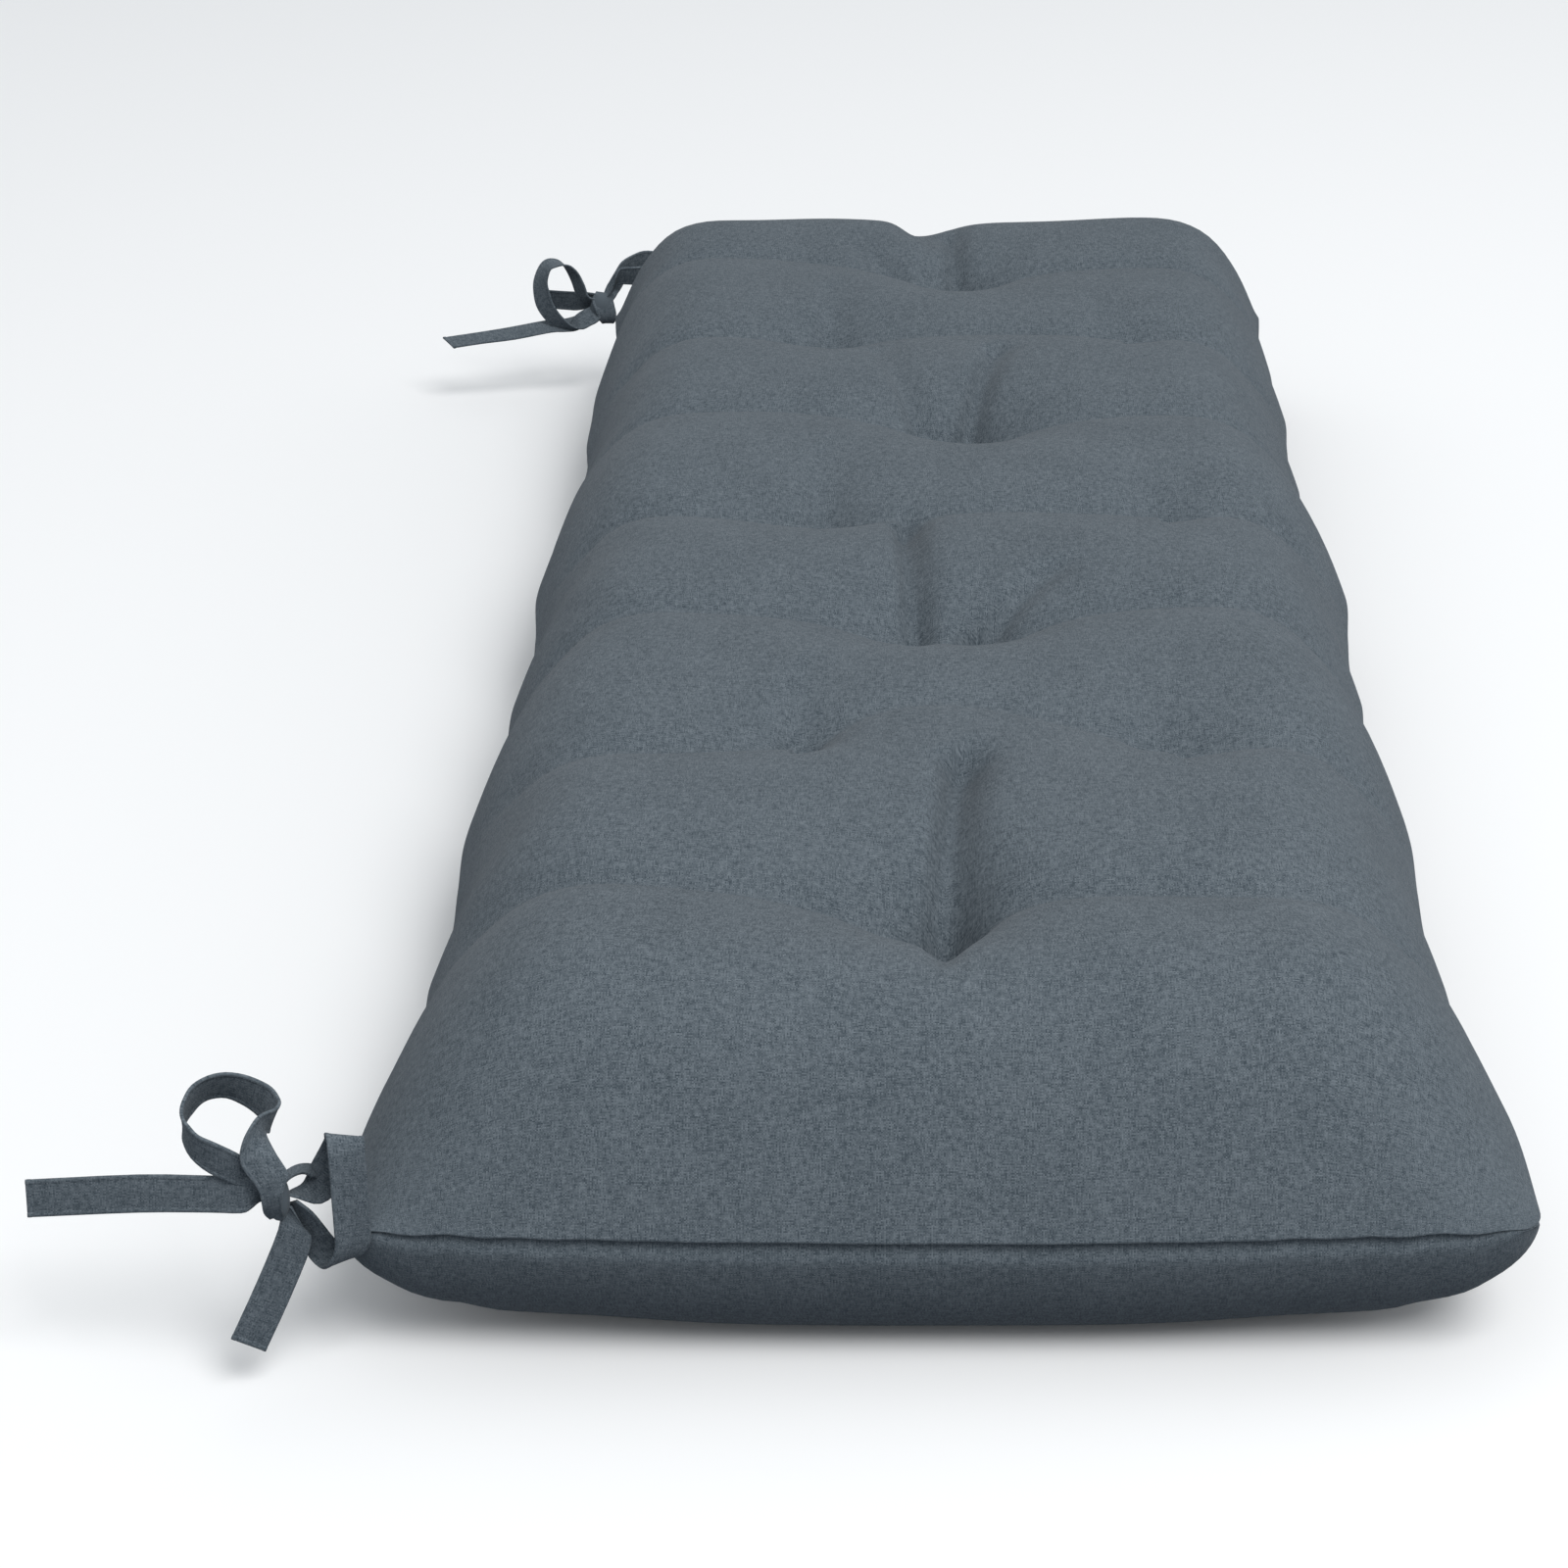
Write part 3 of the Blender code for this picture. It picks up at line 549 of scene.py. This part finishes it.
def outline(x, y):
    """Moves the points of a flat rectangular panel to the outline that the filling gives it."""
    side_inset, end_inset = insets(x, y)
    rows, left, right = zip(*SIDE_DRAW)
    at = (y + LENGTH / 2) / ROW_PITCH
    draw = np.where(x < 0, smooth_between(at, rows, left), smooth_between(at, rows, right)) * MM
    beside_corner = np.clip(1 - side_inset / CORNER_RADIUS, 0, 1)
    beside_corner *= np.clip(1 - end_inset / CORNER_RADIUS, 0, 1)
    rounding = beside_corner**2 * CORNER_RADIUS * (1 - math.sqrt(0.5))
    across = np.abs(2 * x / WIDTH)
    moved_x = x - np.sign(x) * (across * draw + rounding)
    bow = 2 * END_BOW / LENGTH * across**BEND_POWER_ACROSS
    moved_y = y * (1 - bow) - np.sign(y) * rounding
    return moved_x, moved_y


def seam_height(x, y):
    """The height of the seam, which rises at the corners."""
    lift = np.abs(2 * x / WIDTH) ** BEND_POWER_ACROSS * np.abs(2 * y / LENGTH) ** BEND_POWER_ALONG
    return SEAM_HEIGHT + CORNER_LIFT * lift


def wave(x, y, turns):
    """One wave of a table, from -1 to 1."""
    across, along, start = turns
    return np.sin(across * x + along * y + start)


def lumps(x, y):
    """The slow unevenness of loose filling."""
    slow = sum(wave(x, y, turns) for turns in SLOW_WAVES)
    small = math.prod(wave(x, y, turns) for turns in SMALL_WAVES)
    return LUMP * (slow + SMALL_WAVE_SHARE * small)


def crease(x, y, row, shifts, depths):
    """How far the crease of a row lowers the top: a sharp line in a soft hollow."""
    away = y - row_line(row, shifts, x)
    sharp = CREASE_SHARE * valley(away, CREASE_WIDTH)
    soft = (1 - CREASE_SHARE) * hollow(away, CREASE_HOLLOW_WIDTH)
    return across_row(depths, x) * MM * (sharp + soft)


def tuft(x, y, row, across, depth, left, right, along):
    """How far a tuft lowers the top round its stitch."""
    aside = x - across * MM
    reach = np.where(aside < 0, left, right) * MM
    away = np.hypot(aside / reach, (y - tuft_y(row, across)) / (along * MM))
    return depth * MM * valley(away, 1, TUFT_ROUNDING)


def fold(x, y, x0, row0, x1, row1, depth0, depth1, width0, width1):
    """How far a fold lowers the top, from its first end to its second."""
    start = np.array((x0 * MM, row_y(row0)))
    run = np.array((x1 * MM, row_y(row1))) - start
    aside, ahead = x - start[0], y - start[1]
    share = np.clip((aside * run[0] + ahead * run[1]) / (run @ run), 0, 1)
    away = np.hypot(aside - share * run[0], ahead - share * run[1])
    depth = depth0 + (depth1 - depth0) * share
    width = width0 + (width1 - width0) * share
    if row1 - row0 > FOLD_LEAN_FROM:
        on_its_right = run[1] * aside > run[0] * ahead
        width = width * np.where(on_its_right, FOLD_LEAN_RIGHT, FOLD_LEAN_LEFT)
    return depth * MM * hollow(away, width * MM)


def relief(x, y):
    """How far the creases of the rows, their tufts and the folds lower the top."""
    lowered = np.zeros_like(x)
    for form, table in ((crease, ROWS), (tuft, TUFTS), (fold, FOLDS)):
        for line in table:
            lowered += form(x, y, *line)
    return lowered


def fade_at_side(x, y):
    """0 on the seam of the side, and 1 where the creases have their full depth."""
    fade = np.clip(insets(x, y)[0] / RELIEF_INSET, 0, 1)
    return fade**2 * (3 - 2 * fade)


def top_height(x, y):
    """The height of the top panel over a point of the flat panel."""
    side_inset, end_inset = insets(x, y)
    near = hollow(LENGTH / 2 + y, CORNER_REACH)
    far = hollow(LENGTH / 2 - y, CORNER_REACH)
    side_power = SIDE_POWER - NEAR_CORNER_SOFTENING * near + FAR_CORNER_FULLNESS * far
    over_side = rise(side_inset, TOP_REACH, side_power)
    over_near_end = rise(end_inset, TOP_REACH, NEAR_END_POWER)
    over_far_end = rise(end_inset, FAR_END_REACH, FAR_END_POWER)
    full = over_side * np.where(y < 0, over_near_end, over_far_end)
    lowered = relief(x, y) * fade_at_side(x, y)
    return seam_height(x, y) + full * (CROWN + lumps(x, y) - lowered)


def under_height(x, y):
    """The height of the underside, which is flat where it lies on the floor."""
    side_inset, end_inset = insets(x, y)
    slack = UNDER_SLACK * hollow(np.abs(x) - UNDER_SLACK_AT, UNDER_SLACK_WIDTH)
    side_gap = 1 - quarter_ellipse(side_inset, UNDER_SIDE_REACH)
    end_gap = 1 - quarter_ellipse(end_inset, UNDER_END_REACH * (1 + slack))
    gap = side_gap**UNDER_CORNER_POWER + end_gap**UNDER_CORNER_POWER
    full = 1 - np.minimum(gap ** (1 / UNDER_CORNER_POWER), 1)
    for across, end in PUCKERS:
        near_end = np.clip(1 - end_inset / UNDER_END_REACH, 0, 1) * (np.sign(y) == end)
        pucker = valley(x - across * MM, PUCKER_WIDTH) * np.sqrt(near_end)
        full = full * (1 - PUCKER_SHARE * pucker)
    height = seam_height(x, y) * (1 - full)
    for row, across, *_ in TUFTS:
        away = np.hypot(x - across * MM, y - tuft_y(row, across)) / UNDER_DIMPLE_RADIUS
        height += UNDER_DIMPLE_DEPTH * np.clip(1 - away**2, 0, 1) ** 2
    return np.where(height < PRESSED, 0, height)


def distances(points):
    """How far along a line each of its points is."""
    steps = np.linalg.norm(np.diff(points, axis=0), axis=1)
    return np.concatenate([[0], np.cumsum(steps)])


def grid_lines(half):
    """Grid lines of a panel from -half to half."""
    edge = np.array(BORDER_INSETS) * MM - half
    steps = round(-2 * edge[-1] / MIDDLE_STEP)
    middle = np.linspace(edge[-1], -edge[-1], steps + 1)
    return np.concatenate([edge[:-1], middle, -edge[:-1][::-1]])


def seam_ripple(x, y):
    """The seam isn't quite straight: it rises and falls between its stitches, and most
    in the last hand's breadth before a corner."""
    short = SHORT_RIPPLE_SHARE * np.sin(x / SHORT_RIPPLE_LENGTH + SHORT_RIPPLE_START)
    long = LONG_RIPPLE_SHARE * np.sin(x / LONG_RIPPLE_ACROSS + y / LONG_RIPPLE_ALONG)
    pucker = CORNER_PUCKER_SHARE * np.sin(x / CORNER_PUCKER_LENGTH + CORNER_PUCKER_START)
    near_corner = hollow(WIDTH / 2 - np.abs(x), CORNER_PUCKER_REACH)
    return SEAM_RIPPLE * (short + long + near_corner * pucker)


def seam_lip(inset, from_corner):
    """How far the cloth stands off the seam at a corner, where the panels lie flattest."""
    beside = (1 - hollow(inset, SEAM_LIP_START)) * np.exp(-inset / SEAM_LIP_INSET)
    return SEAM_LIP * beside * np.exp(-from_corner / SEAM_LIP_REACH)


def panel_points(x, y, height_of, up):
    """The points of a panel over those of the flat panel, with the details of its seam."""
    side_inset, end_inset = insets(x, y)
    inset = np.minimum(side_inset, end_inset)
    points = np.stack([*outline(x, y), height_of(x, y)], axis=2)
    points[..., 2] += seam_ripple(x, y) * np.exp(-inset / SEAM_RIPPLE_INSET)
    points[..., 2] += up * seam_lip(inset, np.maximum(side_inset, end_inset))
    groove = SEAM_GROOVE_DEPTH * hollow(inset, SEAM_GROOVE_INSET)
    points[..., 0] -= np.sign(x) * groove * (side_inset <= end_inset)
    points[..., 1] -= np.sign(y) * groove * (end_inset <= side_inset)
    return points


def thread_lines(columns, rows, up):
    """Where the grid lines run in the cloth of a panel: their distance from its middle,
    over its form without relief."""
    side_inset, end_inset = insets(columns, rows)
    if up > 0:
        side = CROWN * rise(side_inset, TOP_REACH, SIDE_POWER)
        end = CROWN * rise(end_inset, TOP_REACH, NEAR_END_POWER)
    else:
        side = SEAM_HEIGHT * quarter_ellipse(side_inset, UNDER_SIDE_REACH)
        end = SEAM_HEIGHT * quarter_ellipse(end_inset, UNDER_END_REACH)
    lengths = [distances(np.stack(line, axis=1)) for line in ((columns, side), (rows, end))]
    return [length - length[len(length) // 2] for length in lengths]


def panel_mesh(name, height_of, up):
    """One panel of the cushion, with the lie of its threads as its UV map in metres. Its
    faces look up where up is 1 and down where it is -1."""
    columns, rows = grid_lines(WIDTH / 2), grid_lines(LENGTH / 2)
    x, y = np.meshgrid(columns, rows)
    points = panel_points(x, y, height_of, up)
    number = np.arange(x.size).reshape(x.shape)
    corners = [number[:-1, :-1], number[:-1, 1:], number[1:, 1:], number[1:, :-1]]
    if up < 0:
        corners = [corners[0], *corners[:0:-1]]
    faces = np.stack(corners, axis=2).reshape(-1, 4)
    mesh = bpy.data.meshes.new(name)
    mesh.from_pydata(points.reshape(-1, 3).tolist(), [], faces.tolist())
    threads = np.stack(np.meshgrid(*thread_lines(columns, rows, up)), axis=2).reshape(-1, 2)
    uv = mesh.uv_layers.new(name="threads")
    uv.data.foreach_set("uv", threads[faces.ravel()].ravel())
    return mesh


def add_object(name, data):
    """Adds an object to the scene."""
    added = bpy.data.objects.new(name, data)
    bpy.context.scene.collection.objects.link(added)
    return added


def add_mesh(name, bm, material):
    """Adds an object with the mesh that bm holds, and frees bm."""
    mesh = bpy.data.meshes.new(name)
    bm.to_mesh(mesh)
    bm.free()
    mesh.materials.append(material)
    return add_object(name, mesh)


def make_cushion(material):
    """The filled cushion as one closed mesh of its two panels."""
    bm = bmesh.new()
    for name, height_of, up in (("top_panel", top_height, 1), ("under_panel", under_height, -1)):
        panel = panel_mesh(name, height_of, up)
        bm.from_mesh(panel)
        bpy.data.meshes.remove(panel)
    bmesh.ops.remove_doubles(bm, verts=bm.verts, dist=WELD_DISTANCE)
    cushion = add_mesh("cushion_cover", bm, material)
    cushion.data.shade_smooth()
    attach(cushion, "root")
    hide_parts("cushion")


def smooth_route(stations):
    """Points of both edges on Catmull-Rom curves through a strip's stations."""
    knots = np.array(stations, float)
    padded = np.vstack([2 * knots[0] - knots[1], knots, 2 * knots[-1] - knots[-2]])
    route = []
    for before, start, end, after in zip(padded, padded[1:], padded[2:], padded[3:]):
        for t in np.arange(STRIP_STEPS) / STRIP_STEPS:
            bend = 2 * before - 5 * start + 4 * end - after
            turn = 3 * start - before - 3 * end + after
            route.append(start + 0.5 * ((end - before) * t + bend * t**2 + turn * t**3))
    return np.array([*route, knots[-1]])


def with_hem_end(route):
    """The route with rows added for the fold at its end, and each row's thickness."""
    along = distances((route[:, :3] + route[:, 3:]) / 2)
    places, shares = np.array(HEM_END).T
    places = places * MM
    plain = along[along < along[-1] - places[-1] - MM]
    rows = np.concatenate([plain, along[-1] - places[::-1]])
    thickness = np.concatenate([np.ones(len(plain)), shares[::-1]])
    return np.stack([np.interp(rows, along, part) for part in route.T], axis=1), thickness


def add_strip(bm, uv, stations, corner, is_tail):
    """Adds one hemmed strip, closed all round, along its stations. Returns its length."""
    route = smooth_route(stations) * MM
    thickness = np.ones(len(route))
    if is_tail:
        route, thickness = with_hem_end(route)
    left, right = route[:, :3], route[:, 3:]
    middle = (left + right) / 2
    along = distances(middle)
    normals = np.cross(np.gradient(middle, axis=0), right - left)
    normals /= np.linalg.norm(normals, axis=1)[:, None]
    section = [(across, thick / 2) for across, thick in HEM_SECTION]
    section += [(across, -half) for across, half in section[-2:0:-1]]
    rings = []
    for k in range(len(route)):
        ring = []
        for across, half in section:
            place = left[k] + (right[k] - left[k]) * (across + 1) / 2
            place += normals[k] * half * thickness[k] * MM
            ring.append(bm.verts.new(Vector(place) + corner * MM))
        rings.append(ring)
    count = len(section)
    for k in range(len(rings) - 1):
        for i in range(count):
            j = (i + 1) % count
            face = bm.faces.new((rings[k][i], rings[k + 1][i], rings[k + 1][j], rings[k][j]))
            places = ((i, k), (i, k + 1), (j, k + 1), (j, k))
            for loop, (m, n) in zip(face.loops, places):
                loop[uv].uv = (section[m][0] * STRIP_WIDTH / 2, along[n])
    bm.faces.new(rings[0])
    bm.faces.new(rings[-1][::-1])
    return along[-1]


def add_knot(bm, corner, knot):
    """Adds the round core that the strips of a knot are wrapped round."""
    centre, half_sizes = Vector(knot[:3]), Vector(knot[3:])
    made = bmesh.ops.create_uvsphere(
        bm, u_segments=KNOT_SEGMENTS, v_segments=KNOT_RINGS, radius=1
    )
    bmesh.ops.scale(bm, vec=half_sizes * MM, verts=made["verts"])
    bmesh.ops.translate(bm, vec=(centre + corner) * MM, verts=made["verts"])


def make_bow(name, node, corner, knot, strips, tails, material):
    """One tied strip with its knot. Its pieces of cloth overlap inside the knot."""
    bm = bmesh.new()
    uv = bm.loops.layers.uv.new("threads")
    length = sum(add_strip(bm, uv, stations, corner, False) for stations in strips)
    length += sum(add_strip(bm, uv, stations, corner, True) for stations in tails)
    add_knot(bm, corner, knot)
    bmesh.ops.recalc_face_normals(bm, faces=bm.faces)
    bow = add_mesh(name, bm, material)
    bow.data.shade_smooth()
    bow.data.set_sharp_from_angle(angle=SHARP_ANGLE)
    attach(bow, "root")
    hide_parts(node)


class Nodes:
    """Short calls that add a material's nodes. A value is a number or an output socket."""

    def __init__(self, material):
        material.use_nodes = True
        self.tree = material.node_tree
        self.shader = self.tree.nodes["Principled BSDF"]

    def add(self, kind, inputs, **settings):
        """Adds a node, with its settings and what its inputs are fed."""
        made = self.tree.nodes.new(kind)
        for key, value in settings.items():
            setattr(made, key, value)
        for key, value in inputs.items():
            self.feed(made.inputs[key], value)
        return made

    def feed(self, socket, value):
        """Links an output to a socket, or sets the socket to a number."""
        if isinstance(value, bpy.types.NodeSocket):
            self.tree.links.new(value, socket)
        else:
            socket.default_value = value

    def shade(self, **values):
        """Feeds the shader's inputs, named with _ for a space."""
        for key, value in values.items():
            self.feed(self.shader.inputs[key.replace("_", " ")], value)

    def math(self, operation, *values):
        node = self.add("ShaderNodeMath", dict(enumerate(values)), operation=operation)
        return node.outputs[0]

    def mix(self, share, first, second):
        """The first value where share is 0 and the second where it is 1."""
        of_first = self.math("MULTIPLY", first, self.math("SUBTRACT", 1.0, share))
        return self.math("ADD", of_first, self.math("MULTIPLY", second, share))

    def point(self, x, y):
        return self.add("ShaderNodeCombineXYZ", {"X": x, "Y": y}).outputs[0]

    def noise(self, vector, scale, detail=1.0):
        inputs = {"Vector": vector, "Scale": scale, "Detail": detail}
        return self.add("ShaderNodeTexNoise", inputs, noise_dimensions="2D").outputs[0]

    def arch(self, share):
        """0 at both edges of a thread and 1 in its middle."""
        return self.math("SINE", self.math("MULTIPLY", share, math.pi))


def cloth_material(name, shade):
    """Heathered plain-weave cloth. Each thread has its own slubs, and the thread that lies
    on top changes from one crossing to the next. The UV map gives the threads in metres."""
    material = bpy.data.materials.new(name)
    nodes = Nodes(material)
    threads = nodes.add("ShaderNodeUVMap", {}, uv_map="threads").outputs["UV"]
    split = nodes.add("ShaderNodeSeparateXYZ", {"Vector": threads})
    u = nodes.math("DIVIDE", split.outputs["X"], THREAD_PITCH)
    v = nodes.math("DIVIDE", split.outputs["Y"], THREAD_PITCH)
    warp_number, weft_number = nodes.math("FLOOR", u), nodes.math("FLOOR", v)
    warp_on_top = nodes.math("FLOORED_MODULO", nodes.math("ADD", warp_number, weft_number), 2.0)

    slub = THREAD_PITCH / SLUB_LENGTH
    warp_place = nodes.math("MULTIPLY", warp_number, WARP_STEP), nodes.math("MULTIPLY", v, slub)
    weft_place = nodes.math("MULTIPLY", u, slub), nodes.math("MULTIPLY", weft_number, WEFT_STEP)
    warp_yarn = nodes.noise(nodes.point(*warp_place), 1.0, SLUB_DETAIL)
    weft_yarn = nodes.noise(nodes.point(*weft_place), 1.0, SLUB_DETAIL)
    yarn = nodes.mix(warp_on_top, weft_yarn, warp_yarn)
    cloud = nodes.math("MULTIPLY", nodes.noise(threads, CLOUD_SCALE), CLOUD_SHARE)
    tone = nodes.math("ADD", nodes.math("MULTIPLY", yarn, 1 - CLOUD_SHARE), cloud)
    ramp = nodes.add("ShaderNodeValToRGB", {"Fac": tone})
    dark, light = ramp.color_ramp.elements
    dark.position, light.position = DARK_TONE, LIGHT_TONE
    # painted light: shade makes the ties' copy of the cloth lighter than the cushion's, whose
    # shade is 1
    dark.color = [*(shade * part for part in CLOTH_DARK), 1]
    light.color = [*(shade * part for part in CLOTH_LIGHT), 1]

    warp, weft = nodes.arch(nodes.math("FRACT", u)), nodes.arch(nodes.math("FRACT", v))
    over_weft = nodes.math("MULTIPLY_ADD", weft, THREAD_DIP, 1 - THREAD_DIP)
    over_warp = nodes.math("MULTIPLY_ADD", warp, THREAD_DIP, 1 - THREAD_DIP)
    warp_height = nodes.math("MULTIPLY", warp, over_weft)
    weft_height = nodes.math("MULTIPLY", weft, over_warp)
    height = nodes.math("ADD", nodes.mix(warp_on_top, weft_height, warp_height), yarn)
    relief_of = {"Strength": THREAD_RELIEF_STRENGTH, "Distance": THREAD_RELIEF, "Height": height}
    bump = nodes.add("ShaderNodeBump", relief_of)
    nodes.shade(Base_Color=ramp.outputs["Color"], Normal=bump.outputs["Normal"])
    for key, value in CLOTH_FINISH.items():
        nodes.feed(nodes.shader.inputs[key], value)
    return material


def floor_material():
    """A white floor that throws back only part of the light, as one in a wide room does."""
    material = bpy.data.materials.new("floor_white")
    nodes = Nodes(material)
    bounced = nodes.add("ShaderNodeLightPath", {}).outputs["Is Diffuse Ray"]
    shades = [nodes.mix(bounced, FLOOR_WHITE, part) for part in FLOOR_BOUNCE]
    colour = nodes.add("ShaderNodeCombineColor", dict(zip(("Red", "Green", "Blue"), shades)))
    nodes.shade(Base_Color=colour.outputs["Color"], Roughness=FLOOR_ROUGHNESS)
    return material


def make_floor():
    """The plain pale floor, which is only a stage."""
    bm = bmesh.new()
    bmesh.ops.create_grid(bm, x_segments=1, y_segments=1, size=FLOOR_HALF)
    floor = add_mesh("floor", bm, floor_material())
    floor.location.z = -FLOOR_DROP


def add_light(name, place, target, size, power):
    """A soft rectangular light at place that shines at target."""
    light = bpy.data.lights.new(name, "AREA")
    light.shape = "RECTANGLE"
    light.size, light.size_y = size
    light.energy = power
    lamp = add_object(name, light)
    lamp.location = place
    lamp.rotation_euler = (Vector(target) - Vector(place)).to_track_quat("-Z", "Y").to_euler()


def light_scene():
    """Soft studio light."""
    bpy.context.scene.view_settings.view_transform = "Standard"
    world = bpy.data.worlds.new("studio")
    bpy.context.scene.world = world
    world.use_nodes = True
    background = world.node_tree.nodes["Background"]
    background.inputs["Color"].default_value = (*WORLD_COLOUR, 1)
    background.inputs["Strength"].default_value = WORLD_STRENGTH
    for light in LIGHTS:
        add_light(*light)


def place_camera():
    """The camera at the photo's viewing angle."""
    camera = bpy.data.cameras.new("photo_view")
    camera.sensor_width = CAMERA_FILM
    camera.lens = CAMERA_LENS
    camera.shift_x = CAMERA_SHIFT
    viewer = add_object("photo_view", camera)
    viewer.location = CAMERA_PLACE
    viewer.rotation_euler = (CAMERA_TILT, 0, 0)
    bpy.context.scene.camera = viewer


def main():
    place_camera()
    light_scene()
    make_floor()
    make_cushion(cloth_material("cushion_cloth", 1))
    tie_cloth = cloth_material("tie_cloth", TIE_PAINTED_LIGHT)
    for bow in BOWS:
        make_bow(*bow, tie_cloth)


main()
